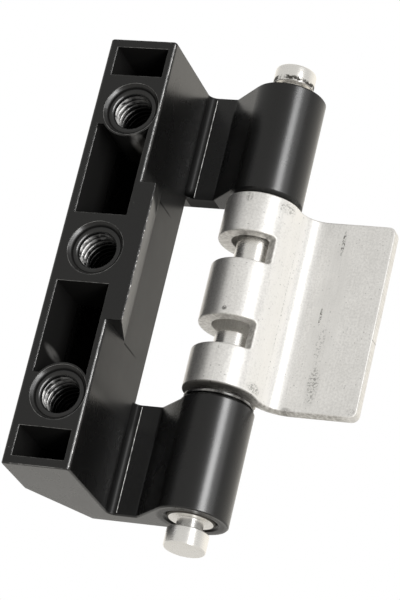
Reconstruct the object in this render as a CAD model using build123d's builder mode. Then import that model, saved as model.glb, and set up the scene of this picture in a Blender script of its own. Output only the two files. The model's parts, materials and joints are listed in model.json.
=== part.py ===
"""Concealed hinge for a sheet-metal door, in millimetres.

A die-cast bracket is screwed behind the frame by three threaded holes, and a rolled steel leaf is fixed
to the door. Two turned pins, one from each end, join the leaf's eyes to the bracket's knuckles.

The origin is the middle hole's mouth in the mounting face. X runs from the bar towards the pins,
Y runs from the mounting face into the bracket, and Z runs along the pins.
"""

import os
from math import asin, cos, degrees, hypot, radians, sin, sqrt

from build123d import *

# Bracket: the bar
bar_length = 60.2
bar_width = 9.3
bar_depth = 17.7
left_depth = 8.6
slant_run = 6.2
waist_depth = 15.4
corner_radius = 0.5
end_chamfer = 0.15

# Bracket: threaded holes
hole_count = 3
hole_pitch = 20.0
hole_offset = 0.6
thread_diameter = 6.0
hole_depth = 9.0
hole_mouth_diameter = 7.6
hole_mouth_angle = 90.0

# Bracket: cored pockets between the holes
pocket_depth = 13.0
pocket_wall = 1.2
pocket_side_wall = 0.9
pocket_end_wall = 1.1
pocket_to_hole = 4.8
boss_radius = 4.0
boss_shoulder = 2.4

# Bracket: stop rib beside the middle hole
rib_length = 19.3
rib_width = 2.0
rib_depth = 6.9

# Bracket: arms and knuckles
arm_height = 15.2
arm_thickness = 2.5
arm_root_radius = 1.0
web_angle = 45.0
web_radius = 0.5
knuckle_overhang = 0.7
knuckle_diameter = 9.7
knuckle_rim_chamfer = 0.5
bore_chamfer = 0.4

# Pin axis, measured from the bar's side and from its back
pin_reach = 11.55
pin_inset = 3.4

# Pins
pin_diameter = 6.4
pin_clearance = 0.05
pin_seat = 3.9
pin_end_chamfer = 0.3
head_diameter = 5.5
head_length = 2.5
head_chamfer = 0.35
neck_diameter = 3.5
outer_neck = 1.5
tip_diameter = 5.0
tip_chamfer = 0.3
pin_lead = 0.4
pin_gap = 9.2

# Leaf, rolled from flat sheet
sheet = 1.8
leaf_reach = 17.4
leaf_corner = 1.0
leaf_lift = 0.65
leaf_top_gap = 0.3
plate_set = 0.3
bend_radius = 3.2
end_eye = 5.6
slot_height = 3.85
slot_end_angle = -40.0
slot_corner = 0.45
eye_tip_gap = 4.0
sheet_edge_chamfer = 0.2

# Washer under the leaf
washer_thickness = 0.45
washer_diameter = 9.2

# Places worked out from the sizes above
bar_right = bar_width / 2 - hole_offset
bar_left = bar_right - bar_width
bar_end = bar_length / 2
back_corner = bar_left + slant_run
slant_rise = (bar_depth - left_depth) / slant_run
arm_front = bar_depth - arm_thickness
arm_end = bar_end - arm_height
knuckle_end = arm_end - knuckle_overhang
knuckle_radius = knuckle_diameter / 2
pin_x = bar_right + pin_reach
pin_y = bar_depth - pin_inset
pin_radius = pin_diameter / 2
bore_radius = pin_radius + pin_clearance
washer_top = washer_thickness - knuckle_end
leaf_bottom = washer_top + leaf_lift
leaf_length = knuckle_end - leaf_top_gap - leaf_bottom
pin_axis = Axis((pin_x, pin_y, 0), (0, 0, 1))
pin_plane = Plane((pin_x, pin_y, 0), x_dir=(1, 0, 0), z_dir=(0, -1, 0))


def slant_x(depth, wall=0.0):
    """X of the slanted back at a depth, or of a line inside it by a wall measured square to the slant."""
    slant_length = hypot(slant_run, bar_depth - left_depth)
    return bar_left + (depth - left_depth) / slant_rise + wall * slant_length / (bar_depth - left_depth)


def corner(sketch, x, y):
    """The sketch's vertex nearest to a point."""
    return sketch.vertices().sort_by_distance((x, y))[0]


def full_circles(part):
    """The part's edges that are whole circles."""
    return part.edges().filter_by(GeomType.CIRCLE).filter_by(lambda edge: edge.is_closed)


# Arm section: the bar, one arm and the web that rises from it to the front of the knuckle
web_slope = radians(web_angle)
web_top = (pin_x - knuckle_radius * sin(web_slope), pin_y - knuckle_radius * cos(web_slope))
web_foot = web_top[0] - (arm_front - web_top[1]) * cos(web_slope) / sin(web_slope)
arm_back = pin_x - sqrt(knuckle_radius**2 - pin_inset**2)

with BuildSketch(Plane.XY.offset(arm_end)) as arm_section:
    with BuildLine():
        Polyline(
            (bar_left, 0),
            (bar_right, 0),
            (bar_right, arm_front),
            (web_foot, arm_front),
            web_top,
            (pin_x, pin_y),
            (pin_x, bar_depth),
            (back_corner, bar_depth),
            (bar_left, left_depth),
            close=True,
        )
    make_face()
    with Locations((pin_x, pin_y)):
        Circle(knuckle_radius)
    fillet(corner(arm_section, bar_right, arm_front), arm_root_radius)
    fillet(corner(arm_section, web_foot, arm_front), web_radius)
    fillet(corner(arm_section, arm_back, bar_depth), arm_root_radius)
    for place in ((bar_left, 0), (bar_right, 0), (back_corner, bar_depth), (bar_left, left_depth)):
        fillet(corner(arm_section, *place), corner_radius)

# Waist section: the bar alone, shallower between the arms
with BuildSketch() as waist_section:
    with BuildLine():
        Polyline(
            (bar_left, 0),
            (bar_right, 0),
            (bar_right, waist_depth),
            (slant_x(waist_depth), waist_depth),
            (bar_left, left_depth),
            close=True,
        )
    make_face()
    fillet(waist_section.vertices(), corner_radius)

# Cores that leave the pockets: their far side follows the slanted back at an even wall
with BuildPart() as pocket_cores:
    pocket_left = bar_left + pocket_wall
    pocket_right = bar_right - pocket_side_wall
    pocket_knee = left_depth + (pocket_left - slant_x(left_depth, pocket_wall)) * slant_rise
    middle_pocket = (pocket_to_hole, hole_pitch - boss_shoulder)
    end_pocket = (hole_pitch + pocket_to_hole, bar_end - pocket_end_wall)
    for low, high in (middle_pocket, end_pocket):
        with BuildSketch(Plane.XY.offset(low)):
            with BuildLine():
                Polyline(
                    (pocket_left, 0),
                    (pocket_right, 0),
                    (pocket_right, pocket_depth),
                    (slant_x(pocket_depth, pocket_wall), pocket_depth),
                    (pocket_left, pocket_knee),
                    close=True,
                )
            make_face()
        extrude(amount=high - low)
    with Locations((0, 0, hole_pitch)):
        Cylinder(boss_radius, 2 * pocket_depth, rotation=(90, 0, 0), mode=Mode.SUBTRACT)
    mirror(about=Plane.XY)

# Bracket: one casting of bar, rib, arms and knuckles
with BuildPart() as bracket:
    extrude(waist_section.sketch, amount=arm_end, both=True)
    extrude(arm_section.sketch, amount=arm_height)
    with BuildSketch(Plane.XY.offset(knuckle_end)):
        with Locations((pin_x, pin_y)):
            Circle(knuckle_radius)
    extrude(amount=arm_height + knuckle_overhang)
    mirror(about=Plane.XY)
    with BuildSketch():
        with BuildLine():
            Polyline(
                (0, 0),
                (bar_right + rib_width, 0),
                (bar_right, rib_depth),
                (0, rib_depth),
                close=True,
            )
        make_face()
    extrude(amount=rib_length / 2, both=True)
    end_faces = bracket.faces().filter_by(Axis.Z).group_by(Axis.Z)
    chamfer((end_faces[0] + end_faces[-1]).edges(), end_chamfer)
    chamfer(full_circles(bracket), knuckle_rim_chamfer)
    add(pocket_cores.part, mode=Mode.SUBTRACT)
    with Locations(Plane.XZ):
        with GridLocations(0, hole_pitch, 1, hole_count):
            CounterSinkHole(
                thread_diameter / 2,
                hole_mouth_diameter / 2,
                depth=hole_depth,
                counter_sink_angle=hole_mouth_angle,
            )
    with Locations((pin_x, pin_y, 0)):
        Hole(bore_radius)
    bore_mouths = full_circles(bracket).group_by(Axis.Z)
    chamfer(bore_mouths[0] + bore_mouths[-1], bore_chamfer)
bracket.part.label = "bracket"

# Leaf: plate, bend and eyes traced along the middle of the sheet, then slotted into three fingers
eye_middle = bore_radius + sheet / 2
bend_middle = bend_radius + sheet / 2
plate_y = pin_y + eye_middle - plate_set
bend_y = plate_y - bend_middle
bend_turn = degrees(asin((bend_y - pin_y) / (eye_middle + bend_middle)))
bend_x = pin_x + (eye_middle + bend_middle) * cos(radians(bend_turn))
bend_hull = degrees(asin((bend_radius + sheet) / (eye_middle + bend_middle))) + bend_turn
eye_tip_angle = bend_hull + eye_tip_gap
leaf_end = pin_x + leaf_reach
slot_lows = (leaf_bottom + end_eye, leaf_bottom + leaf_length - end_eye - slot_height)
slot_start_angle = eye_tip_angle - eye_tip_gap / 2
slot_sweep = 360 + slot_end_angle - slot_start_angle
slot_direction = (cos(radians(slot_end_angle)), sin(radians(slot_end_angle)), 0)

with BuildPart() as leaf:
    with BuildSketch(Plane.XY.offset(leaf_bottom)):
        with BuildLine():
            Line((leaf_end, plate_y), (bend_x, plate_y))
            CenterArc((bend_x, bend_y), bend_middle, 90, 90 + bend_turn)
            CenterArc((pin_x, pin_y), eye_middle, bend_turn, eye_tip_angle - bend_turn - 360)
        trace(line_width=sheet)
    extrude(amount=leaf_length)
    for slot_low in slot_lows:
        with BuildSketch(Plane.XY.offset(slot_low)):
            with BuildLine():
                slot_rim = CenterArc((pin_x, pin_y), eye_middle + sheet, slot_start_angle, slot_sweep)
                Line(slot_rim @ 1, (pin_x, pin_y))
                Line((pin_x, pin_y), slot_rim @ 0)
            make_face()
        extrude(amount=slot_height, mode=Mode.SUBTRACT)
    fillet(leaf.edges().filter_by(Axis((0, 0, 0), slot_direction)), slot_corner)
    fillet(leaf.edges().filter_by(Axis.Y).group_by(Axis.X)[-1], leaf_corner)
    leaf_ends = leaf.faces().filter_by(Axis.Z).group_by(Axis.Z)
    chamfer((leaf_ends[0] + leaf_ends[-1]).edges(), sheet_edge_chamfer)
leaf.part.label = "leaf"

# Pins: a turned profile with a head to pull, a groove to lever under, a body and a thinner inner tip
pin_top = bar_end + outer_neck + head_length
body_low = knuckle_end - pin_seat
tip_low = pin_gap / 2
neck_radius = neck_diameter / 2
tip_radius = tip_diameter / 2
with BuildPart() as upper_pin:
    with BuildSketch(pin_plane) as pin_profile:
        with BuildLine():
            Polyline(
                (0, pin_top),
                (head_diameter / 2, pin_top),
                (head_diameter / 2, pin_top - head_length),
                (neck_radius, pin_top - head_length),
                (neck_radius, bar_end),
                (pin_radius, bar_end),
                (pin_radius, body_low),
                (tip_radius, body_low),
                (tip_radius, tip_low),
                (0, tip_low),
                close=True,
            )
        make_face()
        chamfer(corner(pin_profile, head_diameter / 2, pin_top), head_chamfer)
        chamfer(corner(pin_profile, pin_radius, bar_end), pin_end_chamfer)
        chamfer(corner(pin_profile, pin_radius, body_low), pin_lead)
        chamfer(corner(pin_profile, tip_radius, tip_low), tip_chamfer)
    revolve(axis=pin_axis)
upper_pin.part.label = "upper_pin"

with BuildPart() as lower_pin:
    mirror(upper_pin.part, about=Plane.XY)
lower_pin.part.label = "lower_pin"

# Washer: lies on the lower knuckle, round its pin
with BuildPart() as washer:
    with BuildSketch(Plane.XY.offset(-knuckle_end)):
        with Locations((pin_x, pin_y)):
            Circle(washer_diameter / 2)
            Circle(bore_radius, mode=Mode.SUBTRACT)
    extrude(amount=washer_thickness)
washer.part.label = "washer"

os.makedirs("parts", exist_ok=True)
for piece in (bracket, leaf, upper_pin, lower_pin, washer):
    export_step(piece.part, f"parts/{piece.part.label}.step")
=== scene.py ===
"""Looks of a concealed hinge: a black cast bracket, a rolled zinc-plated leaf, two turned pins and a washer.

Lengths are metres in the CAD frame. X runs from the bar towards the pins, Y from the mounting face into
the bracket, and Z along the pins.
"""

import json
import logging
from collections.abc import Mapping, Sequence
from dataclasses import dataclass, field
from enum import Enum
from types import MappingProxyType
from typing import Any

import bmesh
import bpy
import numpy as np
from mathutils import Matrix, Vector


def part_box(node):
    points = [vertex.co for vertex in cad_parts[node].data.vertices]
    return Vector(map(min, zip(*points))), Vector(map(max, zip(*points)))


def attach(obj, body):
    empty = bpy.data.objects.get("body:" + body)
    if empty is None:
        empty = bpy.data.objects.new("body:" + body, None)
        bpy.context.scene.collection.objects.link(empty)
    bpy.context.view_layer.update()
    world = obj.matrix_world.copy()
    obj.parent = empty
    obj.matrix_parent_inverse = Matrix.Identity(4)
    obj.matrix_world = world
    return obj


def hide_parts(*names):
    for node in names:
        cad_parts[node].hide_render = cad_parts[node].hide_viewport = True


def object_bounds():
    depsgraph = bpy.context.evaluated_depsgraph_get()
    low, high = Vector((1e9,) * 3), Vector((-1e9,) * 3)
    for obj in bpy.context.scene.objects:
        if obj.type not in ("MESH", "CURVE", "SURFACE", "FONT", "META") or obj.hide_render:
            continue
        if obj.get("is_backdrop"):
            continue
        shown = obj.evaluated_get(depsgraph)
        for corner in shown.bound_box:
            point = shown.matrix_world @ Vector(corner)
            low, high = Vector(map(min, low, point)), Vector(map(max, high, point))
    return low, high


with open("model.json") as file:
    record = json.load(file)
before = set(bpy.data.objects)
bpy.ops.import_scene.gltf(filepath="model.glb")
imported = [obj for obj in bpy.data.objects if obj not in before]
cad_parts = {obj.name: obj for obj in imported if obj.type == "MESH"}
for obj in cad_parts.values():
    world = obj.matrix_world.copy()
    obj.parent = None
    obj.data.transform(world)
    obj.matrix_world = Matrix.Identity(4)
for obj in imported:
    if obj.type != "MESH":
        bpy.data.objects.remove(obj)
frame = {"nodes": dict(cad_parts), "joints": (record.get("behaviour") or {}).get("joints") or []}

LOG = logging.getLogger("hinge")
MM = 0.001
FULL_TURN = 2 * np.pi
BEVEL_SAMPLES = 6
ARC_STEPS = 6
GREEN_LOSS = 0.35
NOTHING: Mapping[Any, Any] = MappingProxyType({})

# Numbers of the sockets that a Mix node uses for colours
MIX_SHARE, MIX_FIRST, MIX_SECOND, MIX_RESULT = 0, 6, 7, 2

Pair = tuple[float, float]
Triple = tuple[float, float, float]
Colour = tuple[float, float, float, float]
Sockets = dict[str | int, Any]


class Slot(Enum):
    """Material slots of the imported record."""

    PAINT = "black_paint"
    ZINC = "zinc_plate"
    TURNED = "turned_steel"
    RING = "bright_steel"


class Body(Enum):
    """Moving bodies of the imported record."""

    BRACKET = "bracket"
    LEAF = "leaf"
    UPPER_PIN = "upper_pin"
    LOWER_PIN = "lower_pin"


class Reach(Enum):
    """What a light falls on."""

    PAINT = "paint"
    METAL = "metal"


class Chart(Enum):
    """Coordinates that a pattern follows: the part's own, a piece's UV map in metres, or the sky's."""

    PART = "Object"
    SHEET = "UV"
    SKY = "Generated"


class Value:
    """A number that varies over a surface: one output socket, with arithmetic that adds Math nodes."""

    def __init__(self, kit: "NodeKit", socket: bpy.types.NodeSocket) -> None:
        self.kit = kit
        self.socket = socket

    def _math(self, operation: str, *operands: "Value | float") -> "Value":
        """Adds a Math node for an operation on values or numbers, in the order of its sockets."""
        return self.kit.node("ShaderNodeMath", {"operation": operation}, dict(enumerate(operands)))

    def __add__(self, other: "Value | float") -> "Value":
        """Sum."""
        return self._math("ADD", self, other)

    __radd__ = __add__

    def __sub__(self, other: "Value | float") -> "Value":
        """Difference."""
        return self._math("SUBTRACT", self, other)

    def __rsub__(self, other: float) -> "Value":
        """Difference from a number."""
        return self._math("SUBTRACT", other, self)

    def __mul__(self, other: "Value | float") -> "Value":
        """Product."""
        return self._math("MULTIPLY", self, other)

    __rmul__ = __mul__

    def __truediv__(self, other: "Value | float") -> "Value":
        """Quotient."""
        return self._math("DIVIDE", self, other)

    def __pow__(self, other: float) -> "Value":
        """Power."""
        return self._math("POWER", self, other)

    def __gt__(self, other: "Value | float") -> "Value":
        """One where this is greater, zero elsewhere."""
        return self._math("GREATER_THAN", self, other)

    def __lt__(self, other: "Value | float") -> "Value":
        """One where this is less, zero elsewhere."""
        return self._math("LESS_THAN", self, other)

    def size(self) -> "Value":
        """The value without its sign."""
        return self._math("ABSOLUTE", self)

    def between(self, low: float, high: float) -> "Value":
        """Rises smoothly from zero at low to one at high, or falls where low is the larger."""
        sockets = {"Value": self, "From Min": low, "From Max": high}
        return self.kit.node("ShaderNodeMapRange", {"interpolation_type": "SMOOTHSTEP"}, sockets)


class NodeKit:
    """Adds nodes to one node tree."""

    def __init__(self, tree: bpy.types.NodeTree) -> None:
        """Empties the tree."""
        self.tree = tree
        tree.nodes.clear()

    def add(
        self, kind: str, settings: Mapping[str, Any] = NOTHING, sockets: Mapping[str | int, Any] = NOTHING
    ) -> bpy.types.Node:
        """Adds a node, sets it up, then fills its input sockets.

        Args:
            kind: the node's type.
            settings: its properties, set before the sockets.
            sockets: a value, a number, a colour or a socket for each named or numbered input.

        Returns:
            The node.
        """
        node = self.tree.nodes.new(kind)
        for name, setting in settings.items():
            setattr(node, name, setting)
        for name, given in sockets.items():
            given = given.socket if isinstance(given, Value) else given
            if isinstance(given, bpy.types.NodeSocket):
                self.tree.links.new(given, node.inputs[name])
            else:
                node.inputs[name].default_value = given
        return node

    def node(
        self,
        kind: str,
        settings: Mapping[str, Any] = NOTHING,
        sockets: Mapping[str | int, Any] = NOTHING,
        output: str | int = 0,
    ) -> Value:
        """Adds a node as add does, and wraps one of its outputs."""
        return Value(self, self.add(kind, settings, sockets).outputs[output])

    def place(self, chart: Chart = Chart.PART, scale: Triple | None = None) -> Value:
        """A point of the surface on a chart, stretched on each axis where a scale is given."""
        at = self.node("ShaderNodeTexCoord", output=chart.value)
        return at if scale is None else self.node("ShaderNodeMapping", sockets={"Vector": at, "Scale": scale})

    def axis(self, point: Value, name: str) -> Value:
        """One coordinate, X, Y or Z, of a point."""
        return self.node("ShaderNodeSeparateXYZ", sockets={"Vector": point}, output=name)

    def layer(self, name: str) -> Value:
        """A number that the piece's mesh stores at each point."""
        return self.node("ShaderNodeAttribute", {"attribute_name": name}, output="Fac")

    def noise(self, point: Value, grain: float, detail: float = 2.0, rough: float = 0.5) -> Value:
        """Soft noise from zero to one, with features of about a grain in metres."""
        sockets = {"Vector": point, "Scale": 1.0 / grain, "Detail": detail, "Roughness": rough}
        return self.node("ShaderNodeTexNoise", sockets=sockets)

    def specks(self, point: Value, spacing: float, radius: float, share: float) -> Value:
        """Small round spots scattered over the surface.

        Args:
            point: where the surface is.
            spacing: about how far apart the places for spots are, in metres.
            radius: a spot's radius as a share of the spacing.
            share: the share of places that hold a spot.

        Returns:
            One inside a spot, zero elsewhere.
        """
        cells = self.add("ShaderNodeTexVoronoi", sockets={"Vector": point, "Scale": 1.0 / spacing})
        chance = self.node("ShaderNodeSeparateColor", sockets={"Color": cells.outputs["Color"]})
        return Value(self, cells.outputs["Distance"]).between(radius, 0.5 * radius) * (chance < share)

    def tint(self, share: Value | float, first: Value | Colour, second: Value | Colour) -> Value:
        """Mixes from the first colour to the second by a share."""
        sockets = {MIX_SHARE: share, MIX_FIRST: first, MIX_SECOND: second}
        return self.node("ShaderNodeMix", {"data_type": "RGBA"}, sockets, MIX_RESULT)

    def bump(self, height: Value, depth: float, normal: Value | None = None) -> Value:
        """A normal tilted by a height from zero to one that stands for a depth in metres."""
        given = {"Height": height, "Distance": depth, "Strength": 1.0}
        return self.node("ShaderNodeBump", sockets=given if normal is None else given | {"Normal": normal})

    def rounded(self, radius: float) -> Value:
        """The surface's normal with its edges eased by a radius."""
        return self.node("ShaderNodeBevel", {"samples": BEVEL_SAMPLES}, {"Radius": radius})


def squares(gaps: Sequence[Value]) -> Value:
    """The sum of the gaps' squares."""
    return sum(gap**2.0 for gap in gaps)


def nearness(
    at: Sequence[Value], middle: Sequence[float], reach: Sequence[float], core: float = 0.0
) -> Value:
    """One at a middle, falling smoothly to zero at a reach on each axis.

    The gaps to the middle, each as a share of its reach, are squared and added, so the reach is an ellipse.

    Args:
        at: where the surface is, one value for each axis.
        middle: the middle's place on each axis.
        reach: how far it goes on each axis.
        core: the sum of squares up to which it stays at one.

    Returns:
        A value from one to zero.
    """
    gaps = [(value - start) / half for value, start, half in zip(at, middle, reach)]
    return squares(gaps).between(1.0, core)


def grey(level: float, warm: float = 0.0) -> Colour:
    """A grey colour, a little yellower where warm is above zero."""
    return (level, level * (1.0 - GREEN_LOSS * warm), level * (1.0 - warm), 1.0)


@dataclass(frozen=True)
class Finish:
    """A surface's finish: a named material built from nodes."""

    name: str

    def material(self) -> bpy.types.Material:
        """Makes the material.

        Returns:
            The material, with its shader linked to its output.
        """
        made = bpy.data.materials.new(self.name)
        made.use_nodes = True
        kit = NodeKit(made.node_tree)
        shader = kit.add("ShaderNodeBsdfPrincipled", sockets=self.sockets(kit))
        kit.add("ShaderNodeOutputMaterial", sockets={"Surface": shader.outputs["BSDF"]})
        return made

    def sockets(self, kit: NodeKit) -> Sockets:
        raise NotImplementedError


@dataclass(frozen=True)
class Mark:
    """A streak, scuff or band of painted shade: its middle and reach on each axis, its strength, and the
    extra grain it covers.
    """

    middle: tuple[float, ...]
    reach: tuple[float, ...]
    strength: float
    cover: float = 0.0


@dataclass(frozen=True)
class Zone:
    """How a zone of the coat differs: roughness and metal added, and the share of varnish lost."""

    rough: float = 0.0
    metal: float = 0.0
    bare: float = 0.0


@dataclass(frozen=True)
class BlackPaint(Finish):
    """Semi-gloss black coat on a casting: orange peel, faint mottling, dust, and zones where it is dull.

    The zones are the pockets, the wall behind the rib, the arms' roots with the shade and crease lines beside
    the rib, the upper end, and the lower pin's seat. The pockets, the roots, the rib's top end, the shade and
    crease lines, and the seat's ring on the lower end are made near-black by metal over the black colour:
    painted shade.
    The lower end and the rib's side have more varnish.
    """

    axle: Pair = (0.0, 0.0)
    colour: Colour = grey(0.0018, 0.05)
    pale: Colour = grey(0.8, 0.06)
    gloss: float = 0.27
    reflectance: float = 0.27
    varnish: float = 0.3
    edge: float = 0.28 * MM
    mottle: Pair = (5.0 * MM, 3.0)
    mottle_rough: float = 0.14
    peel: float = 0.5 * MM
    peel_depth: float = 0.003 * MM
    dust: Triple = (1.7 * MM, 0.055, 0.30)
    dust_cloud: float = 9.0 * MM
    dust_runs: Pair = (0.45, 0.6)
    dust_pale: float = 0.10
    dust_rough: float = 0.2
    # Pockets: near-black from metal over the black colour, painted shade in the recesses; pocket_pale lifts
    # it a little
    pocket: Zone = Zone(rough=0.75, metal=0.9, bare=1.0)
    pocket_pale: float = 0.008
    pocket_sides: Pair = (-4.6 * MM, 3.6 * MM)
    pocket_top: float = 29.4 * MM
    pocket_mouth: Pair = (0.25 * MM, 0.5 * MM)
    pocket_end: float = 8.0 * MM
    smears: tuple[Mark, ...] = (
        Mark((1.6 * MM, 3.0 * MM, 15.3 * MM), (1.6 * MM, 4.5 * MM, 2.0 * MM), 1.0),
        Mark((-4.05 * MM, 4.3 * MM, -13.3 * MM), (0.8 * MM, 3.6 * MM, 0.9 * MM), 0.3),
    )
    smear_pale: float = 0.26
    streak: Pair = (1.0 * MM, 3.0)
    streak_stretch: Triple = (1.0, 0.35, 1.0)
    streak_runs: Pair = (0.15, 0.62)
    wall: Zone = Zone(rough=0.25, bare=0.3)
    wall_sides: Pair = (3.9 * MM, 8.0 * MM)
    wall_top: Pair = (12.5 * MM, 10.5 * MM)
    wall_bottom: Pair = (-19.5 * MM, -17.5 * MM)
    # Arms' roots, the rib's top end, and the shade and crease lines beside the rib: near-black, painted shade
    root: Zone = Zone(rough=0.3, metal=0.6, bare=0.75)
    root_right: float = 5.0 * MM
    root_front: float = 14.1 * MM
    root_ends: Pair = (15.0 * MM, 30.0 * MM)
    rib_left: float = 4.2 * MM
    rib_front: float = 0.3 * MM
    rib_back: float = 7.0 * MM
    rib_half: float = 9.8 * MM
    rib_shade: Pair = (7.6 * MM, 8.8 * MM)
    rib_varnish: float = 0.37
    shade_depth: float = 0.8
    shade_lean: float = 0.43
    shade_rise: Pair = (9.4 * MM, 10.4 * MM)
    shade_fall: Pair = (13.0 * MM, 11.5 * MM)
    # Thin dark lines of painted shade from the rib's ends
    creases: Pair = (10.35 * MM, -9.87 * MM)
    crease_shade_width: Pair = (0.18 * MM, 0.05 * MM)
    crease_shade_reach: Pair = (12.2 * MM, 10.0 * MM)
    end: float = 29.9 * MM
    end_varnish: float = 0.24
    top: Zone = Zone(rough=0.7, bare=1.0)
    # The ring about the lower pin on the lower end: near-black, painted shade of the gap
    seat: Zone = Zone(metal=0.7, bare=1.0)
    seat_radii: Pair = (4.7 * MM, 4.1 * MM)

    def sockets(self, kit: NodeKit) -> Sockets:
        """The shader's inputs.

        Args:
            kit: adds nodes to the material.

        Returns:
            A value, number or colour for each input.
        """
        point = kit.place()
        x, y, z = (kit.axis(point, name) for name in "XYZ")
        tall = z.size()
        mottle = kit.noise(point, *self.mottle)
        specks = kit.specks(point, *self.dust) * kit.noise(point, self.dust_cloud).between(*self.dust_runs)

        # Pockets, made near-black as painted shade in the recesses, and the pale smears in them
        inside = (x > self.pocket_sides[0]) * (x < self.pocket_sides[1]) * (tall < self.pocket_top)
        pocket = inside * y.between(*self.pocket_mouth) * (y < self.pocket_end)
        streaks = kit.noise(kit.place(scale=self.streak_stretch), *self.streak).between(*self.streak_runs)
        smears = [nearness((x, y, z), mark.middle, mark.reach) * mark.strength for mark in self.smears]
        thin = sum(smears) * streaks

        # The bar's right wall, whose upper limit leans back, with the rib on it and the arms' roots; the
        # roots, the rib's top end, the shade beside the rib and the crease lines are made near-black as
        # painted shade
        right = (x > self.wall_sides[0]) * (y > self.pocket_mouth[0])
        face = right * (x < self.wall_sides[1])
        lean = z - self.shade_lean * ((y > self.rib_back) * (y - self.rib_back))
        wall = face * lean.between(*self.wall_top) * z.between(*self.wall_bottom)
        rib = (x > self.rib_left) * (x < self.wall_sides[1]) * (y > self.rib_front) * (tall < self.rib_half)
        arm = (tall > self.root_ends[0]) * (tall < self.root_ends[1])
        shaded = face * (y > self.rib_back) * self.shade_depth
        creases = sum((z - height).size().between(*self.crease_shade_width) for height in self.creases)
        root = right * (x < self.root_right) * (y > self.root_front) * arm + rib * z.between(*self.rib_shade)
        root = root + shaded * lean.between(*self.shade_rise) * lean.between(*self.shade_fall)
        root = root + shaded * creases * y.between(*self.crease_shade_reach)
        rib = rib * z.between(*self.rib_shade[::-1])

        # Both ends, and the ring about the lower pin, made near-black as painted shade
        top, bottom = z > self.end, z < -self.end
        seat = bottom * (squares((x - self.axle[0], y - self.axle[1])) ** 0.5).between(*self.seat_radii)

        coat = self.varnish * ((1.0 - self.pocket.bare * pocket) * (1.0 - self.root.bare * root))
        coat = coat * (1.0 - self.wall.bare * wall) + self.end_varnish * bottom + self.rib_varnish * rib
        rough = self.pocket.rough * pocket + self.wall.rough * wall
        rough = rough + self.root.rough * root + self.top.rough * top
        light = specks * self.dust_pale + thin * self.smear_pale + pocket * self.pocket_pale
        # Metal over the black colour makes the pockets, the roots and the seat's ring near-black: painted
        # shade
        metal = self.pocket.metal * pocket * (1.0 - thin) + self.root.metal * root + self.seat.metal * seat
        grain = self.mottle_rough * (mottle - 0.5) + self.dust_rough * specks
        return {
            "Base Color": kit.tint(light, self.colour, self.pale),
            "Metallic": metal,
            "Roughness": self.gloss + grain + rough,
            "Specular IOR Level": self.reflectance,
            "Coat Weight": coat * (1.0 - self.seat.bare * seat) * (1.0 - self.top.bare * top),
            "Coat Roughness": self.gloss,
            "Normal": kit.bump(kit.noise(point, self.peel), self.peel_depth, kit.rounded(self.edge)),
        }


@dataclass(frozen=True)
class ThreadCoat(Finish):
    """The holes' threads: dark coat in the roots, near-black deeper in the hole as painted shade, and thinner
    and paler on the crests near the mouth, most on the lit side as a painted highlight.
    """

    colour: Colour = grey(0.002)
    crest: Colour = grey(0.5, 0.03)
    crest_metal: float = 0.5
    patch: Pair = (0.7 * MM, 3.0)
    patch_runs: Pair = (0.35, 0.6)
    # Deeper in the hole the coat is made near-black by metal: painted shade
    deep: Pair = (1.8 * MM, 5.5 * MM)
    deep_metal: float = 0.9
    gloss: float = 0.24
    grain: float = 0.5 * MM
    grain_rough: float = 0.10

    def sockets(self, kit: NodeKit) -> Sockets:
        """The shader's inputs.

        Args:
            kit: adds nodes to the material.

        Returns:
            A value, number or colour for each input.
        """
        point = kit.place()
        # Near-black deeper in the hole: painted shade
        deep = kit.axis(point, "Y").between(*self.deep)
        # Paler metal on the crests: wear in patches, strongest on the lit side as a painted highlight
        wear_and_painted_light = kit.layer("crest") * kit.noise(point, *self.patch).between(*self.patch_runs) * (1.0 - deep)
        return {
            "Base Color": kit.tint(wear_and_painted_light, self.colour, self.crest),
            "Metallic": wear_and_painted_light * self.crest_metal + deep * self.deep_metal,
            "Roughness": self.gloss + self.grain_rough * kit.noise(point, self.grain),
        }


@dataclass(frozen=True)
class EdgeChipsAndHighlights(Finish):
    """A thin line of paler metal in runs of uneven length: chipped coat on the rib's flash, and painted
    highlights on the other edges.
    """

    coat: Colour = grey(0.01)
    level: float = 0.34
    warm: float = 0.04
    metal: float = 0.5
    least: float = 0.3
    patch: Pair = (0.8 * MM, 3.0)
    runs: Pair = (0.35, 0.6)
    dull: float = 0.45
    shine: float = 0.1

    def sockets(self, kit: NodeKit) -> Sockets:
        """The shader's inputs.

        Args:
            kit: adds nodes to the material.

        Returns:
            A value, number or colour for each input.
        """
        bare = self.least + (1.0 - self.least) * kit.noise(kit.place(), *self.patch).between(*self.runs)
        return {
            "Base Color": kit.tint(bare, self.coat, grey(self.level, self.warm)),
            "Metallic": bare * self.metal,
            "Roughness": self.dull - self.shine * bare,
        }


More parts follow.
